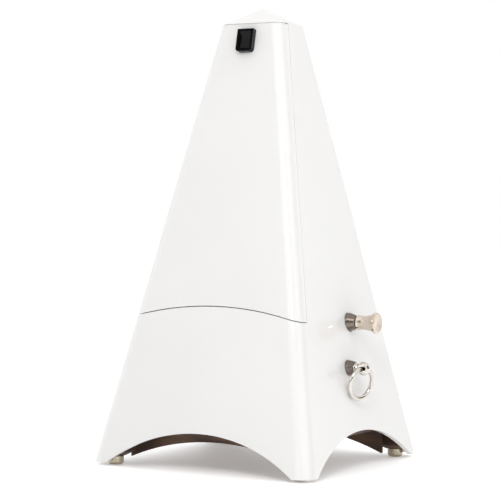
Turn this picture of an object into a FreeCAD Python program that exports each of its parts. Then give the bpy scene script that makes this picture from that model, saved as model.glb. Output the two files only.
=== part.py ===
import FreeCAD, Part
import math
import os
import re
import Sketcher
from fcgear import fcgear, involute

# A wind-up pyramid metronome. Z is up from the floor, the front faces -Y, X runs to the right.
# Every piece is a document object bound to the "sizes" sheet, in millimetres and degrees.

SIZES = {
    # case: a four-sided pyramid with rounded corners and a small roof
    "case_width": 116.5,
    "case_depth": 116.7,
    "top_width": 33.4,
    "top_depth": 26.4,
    "shoulder_rise": 207.3,
    "roof_rise": 7.7,
    "foot_drop": 1.5,
    "corner_base": 7.1,
    "corner_top": 5.6,
    "case_wall": 2.5,
    "ceiling_wall": 2.0,
    "arch_radius": 82.9,
    "arch_rise": 16.4,
    # removable front cover
    "seam_crown": 74.3,
    "seam_radius": 166,
    "seam_gap": 0.4,
    "cover_depth": 7.6,
    "lug_width": 8,
    "lug_offset": 24,
    "lug_depth": 1.8,
    "lug_drop": 3.4,
    "lug_clearance": 3.2,
    # latch on the cover
    "latch_width": 8.6,
    "latch_height": 11,
    "latch_depth": 2.8,
    "latch_top": 204,
    "latch_stem_width": 3.6,
    "latch_stem_height": 4,
    "latch_travel": 3,
    "latch_round": 1.6,
    "latch_plate_thick": 0.8,
    # feet and corner blocks
    "foot_inset": 9,
    "foot_radius": 3.75,
    "foot_height": 4.5,
    "foot_screw_radius": 1.2,
    "block_size": 13,
    "block_height": 11.5,
    # bottom tray
    "tray_gap": 1.5,
    "tray_plate": 1.8,
    "tray_skirt": 2,
    "tray_reach": 47,
    "tray_skirt_place": 38,
    "tray_arch_radius": 123,
    "tray_arch_rise": 10.7,
    # movement frame
    "plate_thick": 1.5,
    "left_plate": -26,
    "right_plate": 29,
    "plate_front": -35,
    "plate_back": 24,
    "plate_top": 88,
    "pillar_radius": 2,
    "pillar_low": 27,
    "pivot_radius": 1,
    "pivot_gap": 0.05,
    # winding key and mainspring barrel
    "key_place": -2.5,
    "key_height": 47,
    "key_reach": 11,
    "key_radius": 2.5,
    "key_eye_radius": 3.2,
    "key_hole_radius": 2.15,
    "ring_radius": 7.2,
    "ring_wire": 1.1,
    "ring_lean": 12,
    "ring_yaw": -18,
    "arbor_radius": 2,
    "barrel_radius": 15,
    "barrel_wall": 1,
    "barrel_left": 10,
    "barrel_right": 24,
    "spring_strip": 0.35,
    "spring_pitch": 0.8,
    "spring_turns": 6,
    "ratchet_radius": 8,
    "ratchet_depth": 1,
    "ratchet_teeth": 24,
    "ratchet_thick": 1.5,
    "click_back": 2.4,
    "click_up": 9,
    # gear train
    "gear_module": 0.5,
    "great_teeth": 72,
    "wheel_teeth": 48,
    "pinion_teeth": 12,
    "gear_thick": 1.5,
    "pinion_thick": 3.5,
    "middle_angle": 138.9,
    "escape_angle": 58.4,
    "train_arbor": 1.25,
    "crown_radius": 11,
    "crown_rim": 1,
    "crown_front": 3.5,
    "crown_depth": 3,
    "crown_teeth": 24,
    "cam_radius": 3.4,
    "cam_lobe": 1.1,
    "cam_width": 3,
    # pendulum
    "swing_height": 67.5,
    "rod_setback": 4.1,
    "rod_width": 4.5,
    "rod_thick": 1,
    "rod_up": 108,
    "rod_down": 34,
    "verge_radius": 1.5,
    "pallet_reach": 3,
    "bob_radius": 13,
    "bob_thick": 9,
    "bob_place": 26,
    "weight_place": 62,
    "weight_wide": 16,
    "weight_narrow": 12,
    "weight_tall": 14,
    "weight_front": 1.2,
    "weight_back": 1.4,
    "weight_gap": 0.05,
    # scale board
    "board_setback": 8.6,
    "board_thick": 1.4,
    "board_gap": 0.4,
    "scale_width": 15,
    "scale_thick": 0.5,
    # beat selector, hammer and bell
    "selector_place": 6,
    "selector_height": 67.8,
    "selector_radius": 1.5,
    "knob_reach": 15.2,
    "knob_waist": 3.3,
    "knob_flare": 5,
    "bush_radius": 4.4,
    "bush_reach": 4.2,
    "bush_gap": 0.1,
    "bush_tip": 3.2,
    "key_bush_radius": 3.6,
    "key_bush_tip": 3.1,
    "key_bush_reach": 3.4,
    "collar_radius": 3,
    "collar_width": 1.5,
    "lever_left": 10,
    "lever_thick": 2.5,
    "bell_radius": 13,
    "bell_wall": 1,
    "bell_height": 9,
    "bell_x": 15,
    "bell_place": 25,
    "bell_top": 71.5,
}

doc = FreeCAD.newDocument("metronome")
sheet = doc.addObject("Spreadsheet::Sheet", "sizes")
for row, (name, number) in enumerate(SIZES.items(), start=1):
    sheet.set(f"A{row}", name)
    sheet.set(f"B{row}", str(number))
    sheet.setAlias(f"B{row}", name)
doc.recompute()
probe = doc.addObject("App::FeaturePython", "probe")
probe.addProperty("App::PropertyFloat", "number")

NODES = {}
AXIS_TURN = {
    "x": FreeCAD.Rotation(FreeCAD.Vector(0, 1, 0), 90),
    "y": FreeCAD.Rotation(FreeCAD.Vector(1, 0, 0), -90),
    "z": FreeCAD.Rotation(),
}

# Derived expressions, written with the sheet's own names.
TIP = "foot_drop"
SHOULDER = "(foot_drop + shoulder_rise)"
SLOPE_X = "((case_width - top_width) / 2 / shoulder_rise)"
SLOPE_Y = "((case_depth - top_depth) / 2 / shoulder_rise)"
LEAN = "atan((case_depth - top_depth) / 2 / shoulder_rise)"
BLOCK_TOP = "(foot_drop + 2.5 + block_height)"
TRAY_TOP = f"({BLOCK_TOP} + tray_plate)"
ROD_Y = f"(rod_setback - (case_depth / 2 - {SLOPE_Y} * (swing_height - foot_drop)))"
PITCH = "gear_module / 2"
MIDDLE_REACH = f"({PITCH} * (great_teeth + pinion_teeth))"
ESCAPE_REACH = f"({PITCH} * (wheel_teeth + pinion_teeth))"
MIDDLE_Y = f"(key_place + {MIDDLE_REACH} * cos(middle_angle))"
MIDDLE_Z = f"(key_height + {MIDDLE_REACH} * sin(middle_angle))"
ESCAPE_Y = f"({MIDDLE_Y} + {ESCAPE_REACH} * cos(escape_angle))"
ESCAPE_Z = f"({MIDDLE_Z} + {ESCAPE_REACH} * sin(escape_angle))"


def half_x(height):
    """Half the case's width at a height above the floor."""
    return f"(case_width / 2 - {SLOPE_X} * (({height}) - foot_drop))"


def half_y(height):
    """Half the case's depth at a height above the floor."""
    return f"(case_depth / 2 - {SLOPE_Y} * (({height}) - foot_drop))"


def bound(expression):
    """The expression with each size's name tied to the sheet."""
    return re.sub(
        r"[a-z_]\w*",
        lambda found: f"sizes.{found[0]}" if found[0] in SIZES else found[0],
        str(expression),
    )


def degrees_bound(expression):
    """As bound, with the angles' names given in degrees for sin and cos."""
    tied = bound(expression)
    for angle in ("middle_angle", "escape_angle", "ring_lean", "ring_yaw"):
        tied = tied.replace(f"(sizes.{angle})", f"(sizes.{angle} * 1 deg)")
    return tied


def tie(target, path, expression):
    target.setExpression(path, degrees_bound(expression))


def value(expression):
    tie(probe, "number", expression)
    probe.recompute()
    return probe.number


def place(target, x=0, y=0, z=0, turn=None):
    """Puts an object at bound coordinates, turned by a fixed rotation."""
    target.Placement = FreeCAD.Placement(
        FreeCAD.Vector(value(x), value(y), value(z)), turn or FreeCAD.Rotation()
    )
    for axis, expression in (("x", x), ("y", y), ("z", z)):
        if expression != 0:
            tie(target, f"Placement.Base.{axis}", expression)


def lean_back(target, y, z):
    """Puts an upright object at (0, y, z), leaned back parallel to the front face."""
    place(target, 0, y, z, FreeCAD.Rotation(FreeCAD.Vector(-1, 0, 0), value(LEAN)))
    tie(target, "Placement.Rotation.Angle", LEAN)


def node(target, name):
    target.Label = name
    NODES[name] = target
    return target


def new_body(name):
    body = doc.addObject("PartDesign::Body", name)
    node(body, name)
    return body


def new_sketch(owner, role, name, offset=0):
    """A sketch on one of a body's own origin planes, or free in the document."""
    if owner is None:
        sketch = doc.addObject("Sketcher::SketchObject", name)
        return sketch
    sketch = owner.newObject("Sketcher::SketchObject", name)
    plane = next(o for o in owner.Origin.OriginFeatures if o.Role == role)
    sketch.AttachmentSupport = [(plane, "")]
    sketch.MapMode = "FlatFace"
    if offset != 0:
        sketch.AttachmentOffset = FreeCAD.Placement(
            FreeCAD.Vector(0, 0, value(offset)), FreeCAD.Rotation()
        )
        tie(sketch, "AttachmentOffset.Base.z", offset)
    return sketch


def fix_point(sketch, geometry, position, u, v):
    """Ties one vertex of a sketch to bound coordinates."""
    for kind, expression in (("DistanceX", u), ("DistanceY", v)):
        if isinstance(expression, (int, float)) and expression == 0:
            axis = -2 if kind == "DistanceX" else -1
            sketch.addConstraint(
                Sketcher.Constraint("PointOnObject", geometry, position, axis)
            )
            continue
        index = sketch.addConstraint(
            Sketcher.Constraint(kind, -1, 1, geometry, position, value(expression))
        )
        tie(sketch, f"Constraints[{index}]", expression)


def draw_outline(sketch, corners):
    """A closed chain of straight edges through bound corners."""
    first = sketch.GeometryCount
    numbers = [FreeCAD.Vector(value(u), value(v), 0) for u, v in corners]
    count = len(corners)
    for index in range(count):
        edge = Part.LineSegment(numbers[index], numbers[(index + 1) % count])
        sketch.addGeometry(edge, False)
    for index in range(count):
        following = first + (index + 1) % count
        sketch.addConstraint(
            Sketcher.Constraint("Coincident", first + index, 2, following, 1)
        )
    for index, (u, v) in enumerate(corners):
        fix_point(sketch, first + index, 1, u, v)


def draw_circle(sketch, u, v, radius):
    centre = FreeCAD.Vector(value(u), value(v), 0)
    axis = FreeCAD.Vector(0, 0, 1)
    index = sketch.addGeometry(Part.Circle(centre, axis, value(radius)), False)
    fix_point(sketch, index, 3, u, v)
    limit = sketch.addConstraint(Sketcher.Constraint("Radius", index, value(radius)))
    tie(sketch, f"Constraints[{limit}]", radius)


def pad(body, sketch, thick, name="pad", symmetric=False):
    feature = body.newObject("PartDesign::Pad", f"{body.Name}_{name}")
    feature.Profile = sketch
    feature.Length = value(thick)
    feature.Midplane = symmetric
    tie(feature, "Length", thick)
    sketch.Visibility = False
    return feature


def plate(name, role, outline, holes, start, thick, wanted=None):
    """A flat piece: an outline with round holes, padded along its plane's normal."""
    body = new_body(name)
    sketch = new_sketch(body, role, f"{name}_sketch", start)
    if outline:
        draw_outline(sketch, outline)
    if wanted:
        draw_circle(sketch, *wanted)
    for hole in holes:
        draw_circle(sketch, *hole)
    pad(body, sketch, thick)
    return body


def turned(name, axis, stations, x=0, y=0, z=0):
    """A round piece: (axial place, radius) stations turned about a line along X, Y or Z."""
    body = new_body(name)
    sketch = new_sketch(body, "XZ_Plane", f"{name}_sketch")
    corners = [(radius, along) for along, radius in stations]
    draw_outline(sketch, corners)
    feature = body.newObject("PartDesign::Revolution", f"{name}_turning")
    feature.Profile = sketch
    feature.ReferenceAxis = (sketch, ["V_Axis"])
    feature.Angle = 360
    place(body, x, y, z, AXIS_TURN[axis])
    return body


def shaft(stations):
    """Closes a solid shaft's stations along its own centre line."""
    return [(stations[0][0], 0), *stations, (stations[-1][0], 0)]


def box(name, x0, x1, y0, y1, z0, z1):
    """A bound block between two corners."""
    block = doc.addObject("Part::Box", name)
    for side, low, high in (
        ("Length", x0, x1),
        ("Width", y0, y1),
        ("Height", z0, z1),
    ):
        tie(block, side, f"({high}) - ({low})")
    place(block, x0, y0, z0)
    return block


def cylinder(name, axis, radius, start, end, x=0, y=0, z=0):
    """A bound cylinder along X, Y or Z from start to end."""
    rod = doc.addObject("Part::Cylinder", name)
    tie(rod, "Radius", radius)
    tie(rod, "Height", f"({end}) - ({start})")
    centre = {"x": (start, y, z), "y": (x, start, z), "z": (x, y, start)}[axis]
    place(rod, *centre, turn=AXIS_TURN[axis])
    return rod


def cut(name, base, *tools):
    for number, tool in enumerate(tools):
        result = doc.addObject("Part::Cut", f"{name}_cut{number}")
        result.Base = base
        result.Tool = tool
        base = result
    return base


def fuse(name, *pieces):
    result = doc.addObject("Part::MultiFuse", name)
    result.Shapes = list(pieces)
    result.Refine = True
    return result


def common(name, base, tool):
    result = doc.addObject("Part::Common", name)
    result.Base = base
    result.Tool = tool
    return result


def rounded_section(name, half_width, half_depth, radius, height):
    """A horizontal rectangle with round corners, at a bound height."""
    sketch = new_sketch(None, None, name)
    width, depth, corner = value(half_width), value(half_depth), value(radius)
    straight_x, straight_y = width - corner, depth - corner
    up = FreeCAD.Vector(0, 0, 1)
    quarter = math.pi / 2
    for turn, (sx, sy) in enumerate(((1, 1), (-1, 1), (-1, -1), (1, -1))):
        centre = FreeCAD.Vector(sx * straight_x, sy * straight_y, 0)
        circle = Part.Circle(centre, up, corner)
        arc = Part.ArcOfCircle(circle, turn * quarter, (turn + 1) * quarter)
        sketch.addGeometry(arc, False)
    for turn in range(4):
        start = sketch.getPoint(turn, 2)
        end = sketch.getPoint((turn + 1) % 4, 1)
        sketch.addGeometry(Part.LineSegment(start, end), False)
    for turn in range(4):
        line = 4 + turn
        sketch.addConstraint(Sketcher.Constraint("Tangent", turn, 2, line, 1))
        sketch.addConstraint(
            Sketcher.Constraint("Tangent", line, 2, (turn + 1) % 4, 1)
        )
        if turn:
            sketch.addConstraint(Sketcher.Constraint("Equal", 0, turn))
    for line in (4, 6):
        sketch.addConstraint(Sketcher.Constraint("Horizontal", line))
    for line in (5, 7):
        sketch.addConstraint(Sketcher.Constraint("Vertical", line))
    index = sketch.addConstraint(Sketcher.Constraint("Radius", 0, corner))
    tie(sketch, f"Constraints[{index}]", radius)
    for geometry, sx, sy in ((0, 1, 1), (2, -1, -1)):
        fix_point(
            sketch,
            geometry,
            3,
            f"{sx} * (({half_width}) - ({radius}))",
            f"{sy} * (({half_depth}) - ({radius}))",
        )
    place(sketch, 0, 0, height)
    return sketch


FLAT_WITHIN = 1e-4


def on_plane(face):
    """The same face on a true plane if it is flat, with its own edges."""
    surface = face.Surface
    if not isinstance(surface, Part.BSplineSurface) or not surface.isPlanar(FLAT_WITHIN):
        return face
    first, second, third = (v.Point for v in face.OuterWire.OrderedVertexes[:3])
    return Part.Face(Part.Plane(first, second, third), face.OuterWire)


class WalledLoft:
    """A ruled loft between sketches, with a true plane for each wall that is flat."""

    def __init__(self, target):
        target.addProperty("App::PropertyLinkList", "Sections")
        target.Proxy = self

    def execute(self, target):
        wires = [section.Shape.Wires[0] for section in target.Sections]
        ruled = Part.makeLoft(wires, True, True)
        solid = Part.makeSolid(Part.makeShell([on_plane(face) for face in ruled.Faces]))
        solid.fix(FLAT_WITHIN, FLAT_WITHIN, FLAT_WITHIN)
        target.Shape = solid


def loft(name, *sections):
    solid = doc.addObject("Part::FeaturePython", name)
    WalledLoft(solid)
    solid.Sections = list(sections)
    return solid


def extrusion(name, sketch, length, symmetric=True):
    solid = doc.addObject("Part::Extrusion", name)
    solid.Base = sketch
    solid.DirMode = "Normal"
    solid.Solid = True
    solid.Symmetric = symmetric
    tie(solid, "LengthFwd", length)
    return solid


# ---------------------------------------------------------------- case and cover


def case_blank():
    """The whole outer shell, cover included: a hollow pyramid with a roof."""
    outer = loft(
        "case_outer",
        rounded_section(
            "case_foot", half_x(TIP), half_y(TIP), "corner_base", TIP
        ),
        rounded_section(
            "case_shoulder", half_x(SHOULDER), half_y(SHOULDER), "corner_top", SHOULDER
        ),
    )
    roof = loft(
        "case_roof",
        rounded_section(
            "roof_foot", half_x(SHOULDER), half_y(SHOULDER), "corner_top", SHOULDER
        ),
        rounded_section("roof_peak", 0.9, 0.75, 0.4, f"{SHOULDER} + roof_rise"),
    )
    whole = fuse("case_solid", outer, roof)
    low = "0"
    high = f"({SHOULDER} - ceiling_wall)"
    inner = loft(
        "case_inner",
        rounded_section(
            "hollow_foot",
            f"{half_x(low)} - case_wall",
            f"{half_y(low)} - case_wall",
            "corner_base - case_wall",
            low,
        ),
        rounded_section(
            "hollow_top",
            f"{half_x(high)} - case_wall",
            f"{half_y(high)} - case_wall",
            "corner_top - case_wall",
            high,
        ),
    )
    return cut("case_hollow", whole, inner)


def arch_cutter(name, axis):
    """A round bar under the case that cuts an arch through two opposite walls."""
    return cylinder(
        name, axis, "arch_radius", "-case_width", "case_width",
        z=f"{TIP} + arch_rise - arch_radius",
    )


def cover_region(name, grow):
    """The space in front of the parting line, above the seam and below the shoulder."""
    front = doc.addObject("Sketcher::SketchObject", f"{name}_front")
    front.Placement = FreeCAD.Placement(
        FreeCAD.Vector(0, 0, 0), FreeCAD.Rotation(FreeCAD.Vector(1, 0, 0), 90)
    )
    reach = f"({half_x(TIP)} + 5)"
    seam_top = f"({TIP} + seam_crown - {grow})"
    seam_end = f"({seam_top} - seam_radius + sqrt(seam_radius ^ 2 - {reach} ^ 2))"
    ceiling = f"({SHOULDER} - seam_gap + {grow})"
    centre_height = value(f"{seam_top} - seam_radius")
    radius = value("seam_radius")
    half = math.asin(value(reach) / radius)
    middle = FreeCAD.Vector(0, centre_height, 0)
    circle = Part.Circle(middle, FreeCAD.Vector(0, 0, 1), radius)
    arc = Part.ArcOfCircle(circle, math.pi / 2 - half, math.pi / 2 + half)
    front.addGeometry(arc, False)
    left, right = value(f"-{reach}"), value(reach)
    ends = value(seam_end)
    top = value(ceiling)
    corners = [(left, ends), (left, top), (right, top), (right, ends)]
    points = [FreeCAD.Vector(u, v, 0) for u, v in corners]
    for start, end in zip(points, points[1:]):
        front.addGeometry(Part.LineSegment(start, end), False)
    for first, first_end, second in ((0, 2, 1), (1, 2, 2), (2, 2, 3)):
        front.addConstraint(
            Sketcher.Constraint("Coincident", first, first_end, second, 1)
        )
    front.addConstraint(Sketcher.Constraint("Coincident", 3, 2, 0, 1))
    fix_point(front, 0, 3, 0, f"{seam_top} - seam_radius")
    index = front.addConstraint(Sketcher.Constraint("Radius", 0, radius))
    tie(front, f"Constraints[{index}]", "seam_radius")
    fix_point(front, 1, 2, f"-{reach}", ceiling)
    fix_point(front, 2, 2, reach, ceiling)
    front.addConstraint(Sketcher.Constraint("Vertical", 1))
    front.addConstraint(Sketcher.Constraint("Vertical", 3))
    slab = extrusion(f"{name}_slab", front, "case_depth + 20")
    side = doc.addObject("Sketcher::SketchObject", f"{name}_side")
    side.Placement = FreeCAD.Placement(
        FreeCAD.Vector(0, 0, 0), FreeCAD.Rotation(FreeCAD.Vector(1, 1, 1), 120)
    )
    bottom, peak = "0", f"({SHOULDER} + roof_rise)"
    draw_outline(
        side,
        [
            ("-case_depth", bottom),
            (f"cover_depth + {grow} - {half_y(bottom)}", bottom),
            (f"cover_depth + {grow} - {half_y(peak)}", peak),
            ("-case_depth", peak),
        ],
    )
    wedge = extrusion(f"{name}_wedge", side, "case_width + 20")
    return common(f"{name}_region", slab, wedge)


def wall_seat(name, radius, y, z, bore):
    """A flat round seat sunk in the sloping right wall, with a bore through it."""
    face = f"({half_x(z)} - {SLOPE_X} * {radius} - 0.3)"
    seat = cylinder(f"{name}_seat", "x", f"{radius} + 0.1", face, "case_width", y=y, z=z)
    hole = cylinder(f"{name}_hole", "x", bore, "right_plate + 5", "case_width", y=y, z=z)
    return seat, hole


def case_shell(blank):
    seats = [
        *wall_seat(
            "selector", "bush_radius", "selector_place", "selector_height",
            "selector_radius + 1.2",
        ),
        *wall_seat(
            "key", "key_bush_radius", "key_place", "key_height",
            "key_radius + 0.8",
        ),
    ]
    opened = cut(
        "case_open",
        blank,
        arch_cutter("arch_x", "x"),
        arch_cutter("arch_y", "y"),
        cover_region("opening", "seam_gap"),
        *seats,
    )
    return node(opened, "case_shell")


def front_cover(blank):
    """The cover is the same shell's front, with two lugs behind its lower edge."""
    skin = common("cover_skin", blank, cover_region("cover", "0"))
    pieces = [skin]
    for side, sign in (("left", -1), ("right", 1)):
        centre = f"({sign} * lug_offset)"
        seam = f"({TIP} + seam_crown - seam_radius + sqrt(seam_radius ^ 2 - lug_offset ^ 2))"
        inner = f"(case_wall - {half_y(seam)})"
        low_x = f"({centre} - lug_width / 2)"
        high_x = f"({centre} + lug_width / 2)"
        back = f"({inner} + lug_clearance + lug_depth)"
        shelf = box(
            f"lug_shelf_{side}", low_x, high_x,
            f"({inner} - 0.6)", back, f"({seam} + 1.2)", f"({seam} + 3)",
        )
        hook = box(
            f"lug_hook_{side}", low_x, high_x,
            f"({inner} + lug_clearance)", back, f"({seam} - lug_drop)", f"({seam} + 3)",
        )
        pieces += [shelf, hook]
    joined = fuse("cover_joined", *pieces)
    slot_middle = latch_middle()
    slot = box(
        "latch_slot",
        "-latch_stem_width / 2 - 0.15", "latch_stem_width / 2 + 0.15",
        "-case_depth / 2", "0",
        f"{slot_middle} - latch_stem_height / 2 - latch_travel - 0.4",
        f"{slot_middle} + latch_stem_height / 2 + 0.6",
    )
    return node(cut("cover_slotted", joined, slot), "front_cover")


def latch_middle():
    return f"({TIP} + latch_top - latch_height / 2)"


def latch_frame():
    """The point on the front face at the middle of the latch."""
    height = latch_middle()
    return f"(-{half_y(height)})", height


def cover_latch():
    """A black finger slide on the cover: a scooped button and a stem through the slot."""
    body = new_body("cover_latch")
    outline = new_sketch(body, "XZ_Plane", "latch_outline")
    wide, tall = "latch_width / 2", "latch_height / 2"
    draw_outline(
        outline,
        [(f"-{wide}", f"-{tall}"), (wide, f"-{tall}"), (wide, tall), (f"-{wide}", tall)],
    )
    raised = pad(body, outline, "latch_depth", "button")
    doc.recompute()
    lower = [
        f"Edge{number}"
        for number, edge in enumerate(raised.Shape.Edges, start=1)
        if abs(edge.tangentAt(edge.FirstParameter).y) > 0.9
        and edge.CenterOfMass.z < 0
    ]
    rounding = body.newObject("PartDesign::Fillet", "latch_rounding")
    rounding.Base = (raised, lower)
    tie(rounding, "Radius", "latch_round")
    scoop = new_sketch(body, "YZ_Plane", "latch_scoop")
    draw_outline(
        scoop,
        [
            ("-latch_depth - 1", "latch_height / 2 - 1.2"),
            ("-latch_depth + 0.05", "latch_height / 2 - 1.2"),
            ("-latch_depth + 1.5", "latch_height / 2 - 4"),
            ("-latch_depth + 0.9", "-latch_height / 2 + 1.4"),
            ("-latch_depth - 1", "-latch_height / 2 + 1.4"),
        ],
    )
    hollow = body.newObject("PartDesign::Pocket", "latch_hollow")
    hollow.Profile = scoop
    hollow.Midplane = True
    tie(hollow, "Length", "latch_width - 2.4")
    stem = new_sketch(body, "XZ_Plane", "latch_stem")
    half, rise = "latch_stem_width / 2", "latch_stem_height / 2"
    draw_outline(
        stem,
        [(f"-{half}", f"-{rise}"), (half, f"-{rise}"), (half, rise), (f"-{half}", rise)],
    )
    neck = pad(body, stem, "case_wall + 0.2", "neck")
    neck.Reversed = True
    y, z = latch_frame()
    lean_back(body, f"{y} - 0.1", z)
    return body


def latch_plate():
    """The spring plate that holds the latch behind the cover's wall."""
    body = plate(
        "latch_plate",
        "XZ_Plane",
        [
            ("-latch_width / 2 + 0.5", "-latch_height / 2 + 1"),
            ("latch_width / 2 - 0.5", "-latch_height / 2 + 1"),
            ("latch_width / 2 - 0.5", "latch_height / 2 - 3.5"),
            ("-latch_width / 2 + 0.5", "latch_height / 2 - 3.5"),
        ],
        [],
        "-(case_wall + 0.2 + latch_plate_thick)",
        "latch_plate_thick",
    )
    y, z = latch_frame()
    lean_back(body, f"{y} - 0.1", z)
    return body


# ---------------------------------------------------------------- feet and tray


def corner_parts():
    """At each corner: a wood block inside the case and a turned foot under it."""
    inset_x = "(case_width / 2 - foot_inset)"
    inset_y = "(case_depth / 2 - foot_inset)"
    bottom = f"({TIP} + 2.5)"
    for place_name, sx, sy in (
        ("front_left", -1, -1),
        ("front_right", 1, -1),
        ("rear_left", -1, 1),
        ("rear_right", 1, 1),
    ):
        x, y = f"({sx} * {inset_x})", f"({sy} * {inset_y})"
        turned(
            f"foot_{place_name}",
            "z",
            shaft(
                [
                    (0, "foot_radius - 0.9"),
                    (0.5, "foot_radius - 0.35"),
                    (1.1, "foot_radius"),
                    ("foot_height - 0.6", "foot_radius"),
                    (bottom, "foot_radius - 0.4"),
                    (bottom, "foot_screw_radius"),
                    (f"{bottom} + 6", "foot_screw_radius"),
                ]
            ),
            x, y,
        )
        corner = box(
            f"block_{place_name}",
            f"{x} - block_size / 2", f"{x} + block_size / 2",
            f"{y} - block_size / 2", f"{y} + block_size / 2",
            bottom, BLOCK_TOP,
        )
        high = BLOCK_TOP
        fitted = loft(
            f"block_limit_{place_name}",
            rounded_section(
                f"limit_low_{place_name}",
                f"{half_x(bottom)} - case_wall",
                f"{half_y(bottom)} - case_wall",
                "corner_base - case_wall",
                bottom,
            ),
            rounded_section(
                f"limit_high_{place_name}",
                f"{half_x(high)} - case_wall",
                f"{half_y(high)} - case_wall",
                "corner_base - case_wall",
                high,
            ),
        )
        trimmed = common(f"trimmed_{place_name}", corner, fitted)
        screw_hole = cylinder(
            f"screw_hole_{place_name}", "z", "foot_screw_radius",
            bottom, f"{bottom} + 6", x=x, y=y,
        )
        block = cut(
            f"corner_block_{place_name}",
            trimmed,
            screw_hole,
            arch_cutter(f"block_arch_x_{place_name}", "x"),
            arch_cutter(f"block_arch_y_{place_name}", "y"),
        )
        node(block, f"corner_block_{place_name}")


def bottom_tray():
    """A brown board on the corner blocks, with an arched skirt at the front and the rear."""
    reach_y = f"({half_y(TRAY_TOP)} - case_wall - tray_gap)"
    reach_x = f"({half_x(TRAY_TOP)} - case_wall - tray_gap)"
    board = box(
        "tray_board", f"-{reach_x}", reach_x, f"-{reach_y}", reach_y, BLOCK_TOP, TRAY_TOP
    )
    pieces = [board]
    for side, sign in (("front", -1), ("rear", 1)):
        middle = f"({sign} * tray_skirt_place)"
        skirt = box(
            f"tray_skirt_{side}",
            "-(tray_reach - 8)", "tray_reach - 8",
            f"{middle} - tray_skirt / 2", f"{middle} + tray_skirt / 2",
            f"{TIP} + 1", f"{BLOCK_TOP} + 0.5",
        )
        pieces.append(skirt)
    joined = fuse("tray_joined", *pieces)
    arch = cylinder(
        "tray_arch", "y", "tray_arch_radius", "-case_depth", "case_depth",
        z=f"{TIP} + tray_arch_rise - tray_arch_radius",
    )
    return node(cut("tray_cut", joined, arch), "bottom_tray")


# ---------------------------------------------------------------- movement frame

PILLARS = (
    ("lower_front", "plate_front + 6", "pillar_low"),
    ("lower_rear", "plate_back - 4", "pillar_low"),
    ("upper_front", "plate_front + 14", "plate_top - 4"),
    ("upper_rear", "plate_back - 10", "plate_top - 4"),
)


def frame_plate(name, start, bores):
    outline = [
        ("plate_front", TRAY_TOP),
        ("plate_back", TRAY_TOP),
        ("plate_back", "plate_top - 26"),
        ("plate_back - 7", "plate_top"),
        ("plate_front + 11", "plate_top"),
        ("plate_front", "plate_top - 22"),
    ]
    return plate(name, "YZ_Plane", outline, bores, start, "plate_thick")


def frame_plates():
    pivot = "pivot_radius + pivot_gap"
    shared = [
        (MIDDLE_Y, MIDDLE_Z, pivot),
        ("selector_place", "selector_height", "selector_radius + pivot_gap"),
    ]
    escape = (ESCAPE_Y, ESCAPE_Z, pivot)
    key = ("key_place", "key_height", "arbor_radius + pivot_gap")
    frame_plate("left_plate", "left_plate", [*shared, escape, key])
    frame_plate("right_plate", "right_plate", [*shared, escape, key])


def frame_pillars():
    for name, y, z in PILLARS:
        turned(
            f"pillar_{name}",
            "x",
            shaft(
                [
                    ("left_plate + plate_thick", "pillar_radius"),
                    ("left_plate + plate_thick + 2", "pillar_radius"),
                    ("left_plate + plate_thick + 3", "pillar_radius - 0.5"),
                    ("right_plate - 3", "pillar_radius - 0.5"),
                    ("right_plate - 2", "pillar_radius"),
                    ("right_plate", "pillar_radius"),
                ]
            ),
            y=y,
            z=z,
        )


def frame_screws():
    """Eight round-headed screws, one at each end of each pillar."""
    heads = []
    for name, y, z in PILLARS:
        for side, start, end in (
            ("left", "left_plate - 1.2", "left_plate"),
            ("right", "right_plate + plate_thick", "right_plate + plate_thick + 1.2"),
        ):
            head = cylinder(f"screw_{name}_{side}", "x", "pillar_radius", start, end, y=y, z=z)
            slot_edge = start if side == "left" else f"{end} - 0.5"
            slot = box(
                f"slot_{name}_{side}", slot_edge, f"{slot_edge} + 0.5",
                f"{y} - 0.25", f"{y} + 0.25", f"{z} - pillar_radius", f"{z} + pillar_radius",
            )
            heads.append(cut(f"slotted_{name}_{side}", head, slot))
    group = doc.addObject("Part::Compound", "frame_screws")
    group.Links = heads
    return node(group, "frame_screws")


def verge_bridges():
    """Two bars with the pendulum arbor's bearings: one across the front, one at the rear."""
    low, high = "swing_height - 5", "swing_height + 3"
    hole = (0, "swing_height", "verge_radius + pivot_gap")
    plate(
        "front_bridge",
        "XZ_Plane",
        [
            ("left_plate + plate_thick", low),
            ("right_plate", low),
            ("right_plate", high),
            ("left_plate + plate_thick", high),
        ],
        [hole],
        "-(plate_front + 2.5)",
        1.5,
    )
    plate(
        "rear_bridge",
        "XZ_Plane",
        [
            ("left_plate + plate_thick", low),
            (6, low),
            (6, high),
            ("left_plate + plate_thick", high),
        ],
        [hole],
        f"-({ESCAPE_Y} + crown_radius + 2.8)",
        1.5,
    )


# ---------------------------------------------------------------- winding and barrel


def key_outer():
    """How far out the key's end stands."""
    return f"({half_x('key_height')} + key_reach)"


def eye_centre():
    return f"({key_outer()} - key_eye_radius)"


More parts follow.
